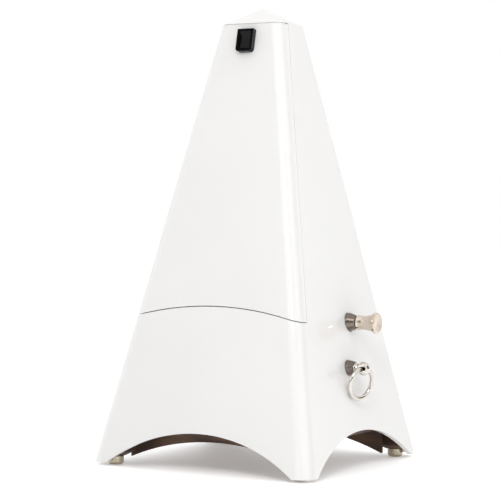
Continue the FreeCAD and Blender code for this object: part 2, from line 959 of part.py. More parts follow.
def winding_key():
    """The arbor and key stem in one, with a cross-drilled ball end for the ring."""
    wall = half_x("key_height")
    stem = turned(
        "key_blank",
        "x",
        shaft(
            [
                ("left_plate - 1", "arbor_radius"),
                ("right_plate + plate_thick + 6", "arbor_radius"),
                ("right_plate + plate_thick + 6", "key_radius"),
                (f"{wall} + key_bush_reach + 0.6", "key_radius"),
                (f"{wall} + key_bush_reach + 1.2", "key_radius - 0.3"),
                (eye_centre(), "key_radius - 0.3"),
            ]
        ),
        y="key_place",
        z="key_height",
    )
    NODES.pop("key_blank")
    ball = doc.addObject("Part::Sphere", "key_ball")
    tie(ball, "Radius", "key_eye_radius")
    place(ball, eye_centre(), "key_place", "key_height")
    joined = fuse("key_joined", stem, ball)
    eye = cylinder(
        "key_eye", "y", "key_hole_radius", "key_place - 6", "key_place + 6",
        x=eye_centre(), z="key_height",
    )
    return node(cut("key_drilled", joined, eye), "winding_key")


def key_ring():
    """The finger ring hangs in the key's eye and leans on towards the wall."""
    ring = doc.addObject("Part::Torus", "key_ring")
    tie(ring, "Radius1", "ring_radius")
    tie(ring, "Radius2", "ring_wire")
    lean, yaw = value("ring_lean"), value("ring_yaw")
    turn = FreeCAD.Rotation(FreeCAD.Vector(0, 0, 1), yaw).multiply(
        FreeCAD.Rotation(FreeCAD.Vector(0, 1, 0), lean)
    )
    turn = turn.multiply(FreeCAD.Rotation(FreeCAD.Vector(0, 1, 0), 90))
    place(
        ring,
        f"({eye_centre()} - ring_radius * sin(ring_lean) * cos(ring_yaw))",
        "key_place - ring_radius * sin(ring_lean) * sin(ring_yaw)",
        "key_height - ring_radius * cos(ring_lean)",
        turn,
    )
    return node(ring, "key_ring")


def wall_bush(name, radius, tip, reach, bore, y, z):
    """A conical bush seated in the wall, around a moving stem."""
    wall = half_x(z)
    seat = f"({wall} - {SLOPE_X} * {radius} - 0.3)"
    turned(
        name,
        "x",
        [
            (seat, f"{bore} + bush_gap"),
            (seat, radius),
            (f"{wall} + 0.6", radius),
            (f"{wall} + {reach} - 0.3", f"{tip} + 0.1"),
            (f"{wall} + {reach}", f"{tip} - 0.1"),
            (f"{wall} + {reach}", f"{bore} + bush_gap"),
        ],
        y=y,
        z=z,
    )


def ratchet_wheel():
    """Saw teeth on the winding arbor, outside the right plate."""
    count = int(value("ratchet_teeth"))
    outer = value("ratchet_radius")
    root = outer - value("ratchet_depth")
    step = 2 * math.pi / count
    points = []
    for tooth in range(count):
        angle = tooth * step
        points.append(FreeCAD.Vector(0, outer * math.cos(angle), outer * math.sin(angle)))
        points.append(FreeCAD.Vector(0, root * math.cos(angle), root * math.sin(angle)))
    points.append(points[0])
    disc = Part.Face(Part.makePolygon(points)).extrude(
        FreeCAD.Vector(value("ratchet_thick"), 0, 0)
    )
    bore = Part.makeCylinder(
        value("arbor_radius"), value("ratchet_thick") + 2,
        FreeCAD.Vector(-1, 0, 0), FreeCAD.Vector(1, 0, 0),
    )
    wheel = doc.addObject("Part::Feature", "ratchet_wheel")
    wheel.Shape = disc.cut(bore)
    place(wheel, "right_plate + plate_thick + 0.5", "key_place", "key_height")
    return node(wheel, "ratchet_wheel")


def click():
    """The pawl, on a stud on the right plate, with its nose in the ratchet's teeth."""
    start = "right_plate + plate_thick + 0.5"
    nose_z = "key_height"
    nose_y = "(key_place + ratchet_radius)"
    pivot_y, pivot_z = click_pivot()
    plate(
        "click",
        "YZ_Plane",
        [
            (f"{nose_y} - 0.6", f"{nose_z} + 0.3"),
            (f"{nose_y} + 1.6", f"{nose_z} + 0.3"),
            (f"{pivot_y} + 2.2", f"{pivot_z} - 1"),
            (f"{pivot_y} + 1.6", f"{pivot_z} + 2"),
            (f"{pivot_y} - 1.6", f"{pivot_z} + 2"),
            (f"{pivot_y} - 2", f"{pivot_z} - 1"),
            (f"{nose_y} + 0.35", f"{nose_z} + 1.5"),
        ],
        [(pivot_y, pivot_z, "pivot_radius + pivot_gap")],
        start,
        "ratchet_thick",
    )
    turned(
        "click_stud",
        "x",
        shaft(
            [
                ("right_plate + plate_thick", "pivot_radius + 0.6"),
                ("right_plate + plate_thick + 0.4", "pivot_radius + 0.6"),
                ("right_plate + plate_thick + 0.4", "pivot_radius"),
                ("right_plate + plate_thick + ratchet_thick + 0.7", "pivot_radius"),
                ("right_plate + plate_thick + ratchet_thick + 0.7", "pivot_radius + 0.7"),
                ("right_plate + plate_thick + ratchet_thick + 1.5", "pivot_radius + 0.7"),
            ]
        ),
        y=pivot_y,
        z=pivot_z,
    )


def click_pivot():
    return "(key_place + ratchet_radius + click_back)", "(key_height + click_up)"


def barrel():
    """The drum that holds the mainspring, its lid, and the spring."""
    gap = "pivot_gap"
    hub = f"arbor_radius + {gap}"
    turned(
        "barrel_drum",
        "x",
        [
            ("barrel_left", "barrel_radius"),
            ("barrel_right", "barrel_radius"),
            ("barrel_right", hub),
            ("barrel_right - barrel_wall", hub),
            ("barrel_right - barrel_wall", "barrel_radius - barrel_wall"),
            ("barrel_left", "barrel_radius - barrel_wall"),
        ],
        y="key_place",
        z="key_height",
    )
    turned(
        "barrel_lid",
        "x",
        [
            ("barrel_left", hub),
            ("barrel_left", "barrel_radius - barrel_wall"),
            ("barrel_left + barrel_wall", "barrel_radius - barrel_wall"),
            ("barrel_left + barrel_wall", hub),
        ],
        y="key_place",
        z="key_height",
    )


def mainspring():
    """A flat spiral strip, run down against the drum's wall."""
    outer = value("barrel_radius - barrel_wall - pivot_gap")
    strip = value("spring_strip")
    pitch = value("spring_pitch")
    turns = int(value("spring_turns"))
    steps = 24
    spirals = []
    for inset in (0, strip):
        points = []
        for index in range(turns * steps + 1):
            angle = 2 * math.pi * index / steps
            radius = outer - inset - pitch * index / steps
            points.append(FreeCAD.Vector(0, radius * math.cos(angle), radius * math.sin(angle)))
        curve = Part.BSplineCurve()
        curve.interpolate(points)
        spirals.append(curve)
    ends = [
        Part.makeLine(spirals[0].EndPoint, spirals[1].EndPoint),
        Part.makeLine(spirals[1].StartPoint, spirals[0].StartPoint),
    ]
    wire = Part.Wire(Part.__sortEdges__([s.toShape() for s in spirals] + ends))
    width = value("barrel_right - barrel_left - 2 * barrel_wall - 2")
    spring = doc.addObject("Part::Feature", "mainspring")
    spring.Shape = Part.Face(wire).extrude(FreeCAD.Vector(width, 0, 0))
    place(spring, "barrel_left + barrel_wall + 1", "key_place", "key_height")
    return node(spring, "mainspring")


# ---------------------------------------------------------------- gear train


def gear(name, teeth_name, shift, bore, start, thick, y, z, phase):
    """An involute spur gear along X with a round bore, turned into mesh by its phase."""
    builder = fcgear.FCWireBuilder()
    teeth = int(value(teeth_name))
    involute.CreateExternalGear(
        builder, value("gear_module"), teeth, 20.0, True, 0.9, 1.25, 0.3, shift
    )
    outline = Part.Wire([piece.toShape() for piece in builder.wire])
    blank = Part.Face(outline).extrude(FreeCAD.Vector(0, 0, value(thick)))
    hole = Part.makeCylinder(value(bore), value(thick))
    wheel = doc.addObject("Part::Feature", name)
    wheel.Shape = blank.cut(hole)
    spin = FreeCAD.Rotation(FreeCAD.Vector(1, 0, 0), phase)
    place(wheel, start, y, z, spin.multiply(AXIS_TURN["x"]))
    return node(wheel, name)


def mesh_phase(driver_phase, driver_teeth, teeth, bearing):
    """The follower's angle that puts its tooth gap on the driver's tooth."""
    return bearing + 180 + (bearing - driver_phase) * driver_teeth / teeth + 180 / teeth


WHEEL_SHIFT = -0.45
PINION_SHIFT = 0.3


def train():
    """Great wheel to middle pinion, middle wheel to escape pinion, on three arbors."""
    first = value("middle_angle")
    second = value("escape_angle")
    great, wheel, pinion = (
        value("great_teeth"), value("wheel_teeth"), value("pinion_teeth"),
    )
    gear(
        "great_wheel", "great_teeth", WHEEL_SHIFT, "arbor_radius + pivot_gap",
        "barrel_right", "gear_thick", "key_place", "key_height", 0,
    )
    middle_phase = mesh_phase(0, great, pinion, first)
    gear(
        "middle_pinion", "pinion_teeth", PINION_SHIFT, "train_arbor",
        "barrel_right - 1", "pinion_thick", MIDDLE_Y, MIDDLE_Z, middle_phase,
    )
    gear(
        "middle_wheel", "wheel_teeth", WHEEL_SHIFT, "train_arbor",
        "crown_front + crown_depth + 0.5", "gear_thick", MIDDLE_Y, MIDDLE_Z, 0,
    )
    escape_phase = mesh_phase(0, wheel, pinion, second)
    gear(
        "escape_pinion", "pinion_teeth", PINION_SHIFT, "train_arbor",
        "crown_front + crown_depth", "2.5", ESCAPE_Y, ESCAPE_Z, escape_phase,
    )
    for name, y, z in (
        ("middle_arbor", MIDDLE_Y, MIDDLE_Z),
        ("escape_arbor", ESCAPE_Y, ESCAPE_Z),
    ):
        turned(
            name,
            "x",
            shaft(
                [
                    ("left_plate", "pivot_radius"),
                    ("left_plate + plate_thick + 0.3", "pivot_radius"),
                    ("left_plate + plate_thick + 0.3", "train_arbor"),
                    ("right_plate - 0.3", "train_arbor"),
                    ("right_plate - 0.3", "pivot_radius"),
                    ("right_plate + plate_thick", "pivot_radius"),
                ]
            ),
            y=y,
            z=z,
        )


def escape_wheel():
    """A crown wheel: a web with a rim whose saw teeth point along the arbor."""
    body = turned(
        "escape_wheel",
        "x",
        [
            ("crown_front", "crown_radius - crown_rim"),
            ("crown_front", "crown_radius"),
            ("crown_front + crown_depth", "crown_radius"),
            ("crown_front + crown_depth", "train_arbor"),
            ("crown_front + crown_depth - 1", "train_arbor"),
            ("crown_front + crown_depth - 1", "crown_radius - crown_rim"),
        ],
        y=ESCAPE_Y,
        z=ESCAPE_Z,
    )
    notch = new_sketch(body, "YZ_Plane", "escape_notch")
    pitch = "(2 * 3.14159 * crown_radius / crown_teeth)"
    draw_outline(
        notch,
        [
            (f"-{pitch} * 0.4", "crown_front - 0.2"),
            (f"{pitch} * 0.4", "crown_front - 0.2"),
            (f"{pitch} * 0.4", "crown_front + crown_depth * 0.5"),
        ],
    )
    gap = body.newObject("PartDesign::Pocket", "escape_gap")
    gap.Profile = notch
    gap.Reversed = True
    tie(gap, "Length", "crown_radius + 2")
    pattern = body.newObject("PartDesign::PolarPattern", "escape_teeth")
    pattern.Originals = [gap]
    axis = next(o for o in body.Origin.OriginFeatures if o.Role == "Z_Axis")
    pattern.Axis = (axis, [""])
    pattern.Angle = 360
    tie(pattern, "Occurrences", "crown_teeth")
    body.Tip = pattern
    return body


def beat_cams():
    """Four cam discs on the escape arbor, with two, three, four and six lobes."""
    discs = []
    for index, lobes in enumerate((2, 3, 4, 6)):
        start = f"(crown_front + crown_depth + 3.5 + {index} * cam_width)"
        disc = cylinder(
            f"cam_disc_{lobes}", "x", "cam_radius", start, f"{start} + cam_width",
            y=ESCAPE_Y, z=ESCAPE_Z,
        )
        discs.append(disc)
        for lobe in range(lobes):
            angle = 360 * lobe / lobes + 12
            reach = f"({math.cos(math.radians(angle)):.6f} * (cam_radius - 0.2))"
            rise = f"({math.sin(math.radians(angle)):.6f} * (cam_radius - 0.2))"
            bump = cylinder(
                f"cam_lobe_{lobes}_{lobe}", "x", "cam_lobe",
                start, f"{start} + cam_width - 0.6",
                y=f"{ESCAPE_Y} + {reach}", z=f"{ESCAPE_Z} + {rise}",
            )
            discs.append(bump)
    joined = fuse("cams_joined", *discs)
    bore = cylinder(
        "cam_bore", "x", "train_arbor", "0", "right_plate", y=ESCAPE_Y, z=ESCAPE_Z
    )
    return node(cut("cams_bored", joined, bore), "beat_cams")


# ---------------------------------------------------------------- pendulum


def pendulum_rod():
    """A flat steel strip, leaned back parallel to the front face."""
    body = plate(
        "pendulum_rod",
        "XZ_Plane",
        [
            ("-rod_width / 2", "-rod_down"),
            ("rod_width / 2", "-rod_down"),
            ("rod_width / 2", "rod_up - 2"),
            ("rod_width / 2 - 1.2", "rod_up"),
            ("-rod_width / 2 + 1.2", "rod_up"),
            ("-rod_width / 2", "rod_up - 2"),
        ],
        [],
        "-rod_thick",
        "rod_thick",
    )
    lean_back(body, ROD_Y, "swing_height")
    return body


def pendulum_bob():
    """The lower counterweight: a lead disc behind the strip."""
    bob = plate(
        "pendulum_bob", "XZ_Plane", [], [], "-(rod_thick + bob_thick)", "bob_thick",
        wanted=(0, "-bob_place", "bob_radius"),
    )
    lean_back(bob, ROD_Y, "swing_height")
    return bob


def pendulum_arbor():
    """The horizontal arbor from the strip's hub back through both bridges."""
    start = f"({ROD_Y} + rod_thick + 0.35)"
    turned(
        "pendulum_arbor",
        "y",
        shaft(
            [
                (start, "verge_radius"),
                (f"{start} + 0.9", "verge_radius"),
                (f"{start} + 0.9", "verge_radius + 1.5"),
                (f"{start} + 2.4", "verge_radius + 1.5"),
                (f"{start} + 2.4", "verge_radius"),
                (f"{ESCAPE_Y} + crown_radius + 3.2", "verge_radius"),
            ]
        ),
        z="swing_height",
    )


def pallets():
    """Two flags on the arbor, at right angles, beside the crown wheel's rim."""
    chord = "sqrt((crown_radius - 0.5) ^ 2 - 36)"
    flags = []
    for index, (sign, lift) in enumerate(((-1, 45), (1, -45))):
        flag = doc.addObject("Part::Box", f"pallet_{index}")
        tie(flag, "Length", "pallet_reach")
        tie(flag, "Width", "3")
        tie(flag, "Height", "0.6")
        place(
            flag, 0, f"{ESCAPE_Y} + {sign} * {chord} - 1.5", "swing_height",
            FreeCAD.Rotation(FreeCAD.Vector(0, 1, 0), -lift),
        )
        flags.append(flag)
    sleeve = cylinder(
        "pallet_sleeve", "y", "verge_radius + 0.5",
        f"{ESCAPE_Y} - {chord} - 2", f"{ESCAPE_Y} + {chord} + 2", z="swing_height",
    )
    joined = fuse("pallets_joined", sleeve, *flags)
    bore = cylinder(
        "pallet_bore", "y", "verge_radius", "-case_depth", "case_depth", z="swing_height"
    )
    return node(cut("pallets_bored", joined, bore), "pallets")


def tempo_weight():
    """The sliding weight: a tapered block with a slot for the strip."""
    body = new_body("tempo_weight")
    outline = new_sketch(body, "XZ_Plane", "weight_outline", "-(rod_thick + weight_back)")
    low = "weight_place - weight_tall / 2"
    high = "weight_place + weight_tall / 2"
    draw_outline(
        outline,
        [
            ("-weight_wide / 2", low),
            ("weight_wide / 2", low),
            ("weight_narrow / 2", high),
            ("-weight_narrow / 2", high),
        ],
    )
    block = pad(body, outline, "rod_thick + weight_front + weight_back", "block")
    slot = new_sketch(body, "XY_Plane", "weight_slot")
    reach = "rod_width / 2 + weight_gap"
    draw_outline(
        slot,
        [
            (f"-({reach})", "-weight_gap"),
            (reach, "-weight_gap"),
            (reach, "rod_thick + weight_gap"),
            (f"-({reach})", "rod_thick + weight_gap"),
        ],
    )
    passage = body.newObject("PartDesign::Pocket", "weight_passage")
    passage.Profile = slot
    passage.Midplane = True
    tie(passage, "Length", "4 * rod_up")
    body.Tip = passage
    lean_back(body, ROD_Y, "swing_height")
    block.Visibility = False
    return body


# ---------------------------------------------------------------- scale board


def board_height(rise):
    """The height above the floor of a point that is rise up the leaned board."""
    return f"(swing_height + ({rise}) * cos({LEAN}))"


def scale_board():
    """A panel between the side walls behind the pendulum, with the tempo strip and a clip."""
    low, high = "10.5", "rod_up + 18"

    def reach(rise):
        return f"({half_x(board_height(rise))} - case_wall - board_gap)"

    board = plate(
        "scale_board",
        "XZ_Plane",
        [
            (f"-{reach(low)}", low),
            (reach(low), low),
            (reach(high), high),
            (f"-{reach(high)}", high),
        ],
        [],
        "-(board_setback + board_thick)",
        "board_thick",
    )
    strip = plate(
        "tempo_scale",
        "XZ_Plane",
        [
            ("-scale_width / 2", "weight_tall + 4"),
            ("scale_width / 2", "weight_tall + 4"),
            ("scale_width / 2", "rod_up - 6"),
            ("-scale_width / 2", "rod_up - 6"),
        ],
        [],
        "-board_setback",
        "scale_thick",
    )
    clip = plate(
        "rod_clip",
        "XZ_Plane",
        [
            ("-4.2", "rod_up - 5"),
            ("-3", "rod_up - 5"),
            ("-3", "rod_up + 1"),
            ("3", "rod_up + 1"),
            ("3", "rod_up - 5"),
            ("4.2", "rod_up - 5"),
            ("4.2", "rod_up + 3"),
            ("-4.2", "rod_up + 3"),
        ],
        [],
        "-board_setback",
        "board_setback - rod_setback - rod_thick - 1.3",
    )
    face = f"(-{half_y('swing_height')})"
    for piece in (board, strip, clip):
        lean_back(piece, face, "swing_height")


# ---------------------------------------------------------------- selector, hammer, bell


def beat_selector():
    """The pull rod and its spool knob, with the two collars that carry the hammer."""
    wall = half_x("selector_height")
    turned(
        "selector_rod",
        "x",
        shaft(
            [
                ("left_plate - 4", "selector_radius"),
                (f"{wall} + bush_reach + 1", "selector_radius"),
            ]
        ),
        y="selector_place",
        z="selector_height",
    )
    spool = f"({wall} + bush_reach + 0.4)"
    end = f"({wall} + knob_reach)"
    turned(
        "selector_knob",
        "x",
        [
            (spool, "selector_radius"),
            (spool, "knob_waist - 0.2"),
            (f"{spool} + 0.4", "knob_waist + 0.35"),
            (f"{spool} + 1.4", "knob_waist + 0.1"),
            (f"{spool} + 3", "knob_waist - 0.1"),
            (f"{spool} + 5", "knob_waist + 0.1"),
            (f"{end} - 3.2", "knob_waist + 0.7"),
            (f"{end} - 1.9", "knob_flare - 0.3"),
            (f"{end} - 1.4", "knob_flare"),
            (f"{end} - 0.5", "knob_flare"),
            (end, "knob_flare - 0.5"),
            (end, "knob_flare - 1.1"),
            (f"{end} - 0.5", 0),
            (f"{wall} + bush_reach + 1", 0),
            (f"{wall} + bush_reach + 1", "selector_radius"),
        ],
        y="selector_place",
        z="selector_height",
    )
    for name, start in (
        ("left_collar", "lever_left - 0.2 - collar_width"),
        ("right_collar", "lever_left + lever_thick + 0.2"),
    ):
        turned(
            name,
            "x",
            [
                (start, "selector_radius"),
                (start, "collar_radius"),
                (f"{start} + collar_width", "collar_radius"),
                (f"{start} + collar_width", "selector_radius"),
            ],
            y="selector_place",
            z="selector_height",
        )


def hammer():
    """A rocking lever on the selector rod: a tail under the cams, a head over the bell."""
    y, z = "selector_place", "selector_height"
    under = f"({ESCAPE_Z} - cam_radius - cam_lobe - 0.2)"
    plate(
        "hammer_lever",
        "YZ_Plane",
        [
            (f"{ESCAPE_Y} - 1", f"{under} - 1.8"),
            (f"{y}", f"{z} - 2.6"),
            (f"{y} + 2.4", f"{z} - 1.6"),
            ("bell_place", "bell_top + 3.6"),
            ("bell_place", "bell_top + 5.4"),
            (f"{y}", f"{z} + 2.8"),
            (f"{y} - 3", f"{z} + 1.6"),
            (f"{ESCAPE_Y} - 1", under),
        ],
        [(y, z, "selector_radius + pivot_gap")],
        "lever_left",
        "lever_thick",
    )
    turned(
        "hammer_head",
        "z",
        shaft(
            [
                ("bell_top + 1.2", 1.6),
                ("bell_top + 2", 2.6),
                ("bell_top + 3.6", 2.6),
            ]
        ),
        "lever_left + lever_thick / 2",
        "bell_place",
    )


def bell():
    """A brass dome on a post, its screw through the crown."""
    top, radius, wall = "bell_top", "bell_radius", "bell_wall"
    turned(
        "bell",
        "z",
        [
            (f"{top} - bell_height", radius),
            (f"{top} - bell_height * 0.55", f"{radius} * 0.93"),
            (f"{top} - bell_height * 0.22", f"{radius} * 0.72"),
            (f"{top} - bell_height * 0.05", f"{radius} * 0.38"),
            (top, "2.2"),
            (top, "1.2"),
            (f"{top} - {wall}", "1.2"),
            (f"{top} - {wall} - bell_height * 0.05", f"{radius} * 0.36"),
            (f"{top} - {wall} - bell_height * 0.22", f"{radius} * 0.72 - {wall} * 0.7"),
            (f"{top} - bell_height * 0.55 - {wall} * 0.5", f"{radius} * 0.93 - {wall}"),
            (f"{top} - bell_height", f"{radius} - {wall}"),
        ],
        "bell_x",
        "bell_place",
    )
    turned(
        "bell_post",
        "z",
        shaft(
            [
                (TRAY_TOP, 4),
                (f"{TRAY_TOP} + 2", 4),
                (f"{TRAY_TOP} + 2", 1.8),
                (f"{top} - {wall} - 0.6", 1.8),
                (f"{top} - {wall} - 0.6", 1.2),
                (f"{top} + 0.5", 1.2),
            ]
        ),
        "bell_x",
        "bell_place",
    )


def tray_screws():
    """Four pan-head screws that hold the tray down on the corner blocks."""
    heads = []
    reach_x = "(case_width / 2 - foot_inset - 2)"
    reach_y = "(case_depth / 2 - foot_inset - 2)"
    for index, (sx, sy) in enumerate(((-1, -1), (1, -1), (-1, 1), (1, 1))):
        heads.append(
            cylinder(
                f"tray_screw_{index}", "z", "2", TRAY_TOP, f"{TRAY_TOP} + 1.3",
                x=f"{sx} * {reach_x}", y=f"{sy} * {reach_y}",
            )
        )
    group = doc.addObject("Part::Compound", "tray_screws")
    group.Links = heads
    return node(group, "tray_screws")


# ---------------------------------------------------------------- build and write


def build():
    blank = case_blank()
    case_shell(blank)
    front_cover(blank)
    cover_latch()
    latch_plate()
    corner_parts()
    bottom_tray()
    tray_screws()
    frame_plates()
    frame_pillars()
    frame_screws()
    verge_bridges()
    winding_key()
    key_ring()
    wall_bush(
        "key_bush", "key_bush_radius", "key_bush_tip", "key_bush_reach", "key_radius",
        "key_place", "key_height",
    )
    wall_bush(
        "selector_bush", "bush_radius", "bush_tip", "bush_reach", "selector_radius",
        "selector_place", "selector_height",
    )
    ratchet_wheel()
    click()
    barrel()
    mainspring()
    train()
    escape_wheel()
    beat_cams()
    pendulum_rod()
    pendulum_bob()
    pendulum_arbor()
    pallets()
    tempo_weight()
    scale_board()
    beat_selector()
    hammer()
    bell()


def check_and_write():
    doc.recompute()
    for item in doc.Objects:
        bad = [state for state in item.State if state in ("Invalid", "Error")]
        if bad:
            raise RuntimeError(f"{item.Label}: {item.State}")
    os.makedirs("parts", exist_ok=True)
    for name, item in NODES.items():
        shape = item.Shape
        if shape.isNull() or not shape.isValid() or not shape.Solids:
            raise RuntimeError(f"{name} has no valid solid")
        shape.exportStep(os.path.join("parts", f"{name}.step"))
        print(f"{name}: {shape.Volume:.1f} mm3, {len(shape.Solids)} solid(s)")


build()
check_and_write()
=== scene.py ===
"""A white pyramid metronome, dressed for a still picture. Lengths are in metres."""

import math

import bmesh
import bpy
from mathutils import Matrix, Vector


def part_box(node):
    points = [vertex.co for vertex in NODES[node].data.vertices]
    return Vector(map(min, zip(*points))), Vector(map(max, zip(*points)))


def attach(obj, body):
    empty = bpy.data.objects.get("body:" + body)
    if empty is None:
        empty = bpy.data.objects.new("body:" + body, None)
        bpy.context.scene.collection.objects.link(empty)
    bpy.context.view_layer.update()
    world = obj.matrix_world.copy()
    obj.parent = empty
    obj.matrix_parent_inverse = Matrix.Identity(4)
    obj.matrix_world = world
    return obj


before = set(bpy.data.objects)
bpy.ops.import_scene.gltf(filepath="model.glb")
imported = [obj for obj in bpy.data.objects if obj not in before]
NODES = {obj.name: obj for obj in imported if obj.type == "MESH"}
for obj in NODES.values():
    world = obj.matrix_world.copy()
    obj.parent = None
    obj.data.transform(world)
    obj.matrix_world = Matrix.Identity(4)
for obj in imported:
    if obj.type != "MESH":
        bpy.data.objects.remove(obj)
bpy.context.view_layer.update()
MM = 0.001


def placed(name, data):
    """A new object, linked to the scene."""
    made = bpy.data.objects.new(name, data)
    bpy.context.collection.objects.link(made)
    return made


# ---------------------------------------------------------------- shader helpers


class Shader:
    """A node material with a principled surface and a few ways to add detail."""

    def __init__(self, name, colour, roughness, metallic=0.0):
        self.material = bpy.data.materials.new(name)
        self.material.use_nodes = True
        self.tree = self.material.node_tree
        self.surface = self.tree.nodes["Principled BSDF"]
        self.set("Base Color", (*colour, 1.0))
        self.set("Roughness", roughness)
        self.set("Metallic", metallic)
        self.place = self.tree.nodes.new("ShaderNodeTexCoord").outputs["Object"]
        self.height = None

    def set(self, socket, value):
        self.surface.inputs[socket].default_value = value

    def link(self, output, socket):
        self.tree.links.new(output, socket)

    def stretched(self, scale):
        mapping = self.tree.nodes.new("ShaderNodeMapping")
        mapping.inputs["Scale"].default_value = scale
        self.link(self.place, mapping.inputs["Vector"])
        return mapping.outputs["Vector"]

    def noise(self, scale, detail=3.0, stretch=(1, 1, 1), warp=0.0):
        texture = self.tree.nodes.new("ShaderNodeTexNoise")
        texture.inputs["Scale"].default_value = scale
        texture.inputs["Detail"].default_value = detail
        texture.inputs["Distortion"].default_value = warp
        self.link(self.stretched(stretch), texture.inputs["Vector"])
        return texture.outputs["Fac"]

    def wave(self, scale, stretch=(1, 1, 1), warp=3.0):
        texture = self.tree.nodes.new("ShaderNodeTexWave")
        texture.inputs["Scale"].default_value = scale
        texture.inputs["Distortion"].default_value = warp
        texture.inputs["Detail"].default_value = 3.0
        self.link(self.stretched(stretch), texture.inputs["Vector"])
        return texture.outputs["Fac"]

    def spread(self, factor, low, high, start=0.3, end=0.7):
        """factor from start to end becomes low to high."""
        rescale = self.tree.nodes.new("ShaderNodeMapRange")
        for socket, value in (
            ("From Min", start),
            ("From Max", end),
            ("To Min", low),
            ("To Max", high),
        ):
            rescale.inputs[socket].default_value = value
        self.link(factor, rescale.inputs["Value"])
        return rescale.outputs["Result"]

    def blend(self, factor, first, second, start=0.3, end=0.7):
        """A colour from first to second as factor goes from start to end."""
        ramp = self.tree.nodes.new("ShaderNodeValToRGB")
        ramp.color_ramp.elements[0].position = start
        ramp.color_ramp.elements[1].position = end
        ramp.color_ramp.elements[0].color = (*first, 1.0)
        ramp.color_ramp.elements[1].color = (*second, 1.0)
        self.link(factor, ramp.inputs["Fac"])
        return ramp.outputs["Color"]

    def colour_from(self, output):
        self.link(output, self.surface.inputs["Base Color"])

    def roughness_from(self, factor, low, high, start=0.3, end=0.7):
        self.link(
            self.spread(factor, low, high, start, end), self.surface.inputs["Roughness"]
        )

    def bump(self, factor, depth, strength=1.0, coat=False):
        bump = self.tree.nodes.new("ShaderNodeBump")
        bump.inputs["Strength"].default_value = strength
        bump.inputs["Distance"].default_value = depth
        self.link(factor, bump.inputs["Height"])
        if self.height:
            self.link(self.height, bump.inputs["Normal"])
        self.height = bump.outputs["Normal"]
        self.link(self.height, self.surface.inputs["Normal"])
        if coat:
            self.link(self.height, self.surface.inputs["Coat Normal"])


# ---------------------------------------------------------------- finishes


def lacquer():
    """White polished lacquer: a hard clear coat, faintly wavy, over a warm white."""
    made = Shader("lacquer", (0.78, 0.78, 0.77), 0.32)
    made.set("Coat Weight", 0.85)
    made.set("Coat Roughness", 0.03)
    made.set("Coat IOR", 1.5)
    made.set("Specular IOR Level", 0.4)
    cloudy = made.noise(22.0, 4.0)
    made.colour_from(made.blend(cloudy, (0.832, 0.826, 0.815), (0.848, 0.843, 0.833)))
    made.roughness_from(made.noise(60.0, 3.0), 0.28, 0.38)
    made.bump(made.noise(95.0, 2.0), 0.00004, 0.35, coat=True)
    made.bump(made.noise(900.0, 2.0), 0.000002, 0.5)
    return made.material


def black_plastic():
    made = Shader("black_gloss_plastic", (0.004, 0.004, 0.005), 0.24)
    made.set("Specular IOR Level", 0.18)
    made.roughness_from(made.noise(420.0, 4.0), 0.09, 0.17)
    cloudy = made.noise(300.0)
    made.colour_from(made.blend(cloudy, (0.003, 0.003, 0.004), (0.006, 0.006, 0.007)))
    made.bump(made.noise(1600.0, 3.0), 0.00001, 0.5)
    return made.material


def dark_wood():
    """Stained board with long grain along X and open pores."""
    made = Shader("dark_stained_wood", (0.07, 0.035, 0.02), 0.55)
    grain = made.wave(60.0, (0.12, 1.0, 1.0), 6.0)
    pores = made.noise(900.0, 4.0, (0.06, 1.0, 1.0))
    made.colour_from(
        made.blend(grain, (0.050, 0.023, 0.013), (0.115, 0.060, 0.033), 0.1, 0.9)
    )
    made.roughness_from(pores, 0.45, 0.7)
    made.bump(grain, 0.00006, 0.6)
    made.bump(pores, 0.00005, 0.8)
    return made.material


def metal(name, dark, light, rough, grain=(1, 1, 1), scale=700.0, depth=0.000006):
    """A machined or plated metal: clouded colour, fine tool lines and soft blotches."""
    made = Shader(name, light, sum(rough) / 2, 1.0)
    blotches = made.noise(160.0, 4.0, warp=0.4)
    lines = made.noise(scale, 3.0, grain)
    made.colour_from(made.blend(blotches, dark, light))
    made.roughness_from(lines, rough[0], rough[1])
    made.bump(lines, depth, 0.6)
    made.bump(blotches, 0.00003, 0.15)
    return made.material


def painted_board():
    made = Shader("black_board", (0.02, 0.02, 0.022), 0.5)
    grain = made.noise(500.0, 4.0, (0.1, 1.0, 1.0))
    made.colour_from(made.blend(grain, (0.014, 0.014, 0.015), (0.034, 0.033, 0.034)))
    made.roughness_from(grain, 0.4, 0.62)
    made.bump(grain, 0.00004, 0.6)
    return made.material


def lead():
    made = Shader("cast_lead", (0.2, 0.2, 0.21), 0.6, 0.85)
    blotches = made.noise(240.0, 6.0, warp=0.6)
    made.colour_from(made.blend(blotches, (0.13, 0.13, 0.14), (0.27, 0.27, 0.28)))
    made.roughness_from(blotches, 0.48, 0.72)
    made.bump(blotches, 0.00015, 0.7)
    return made.material


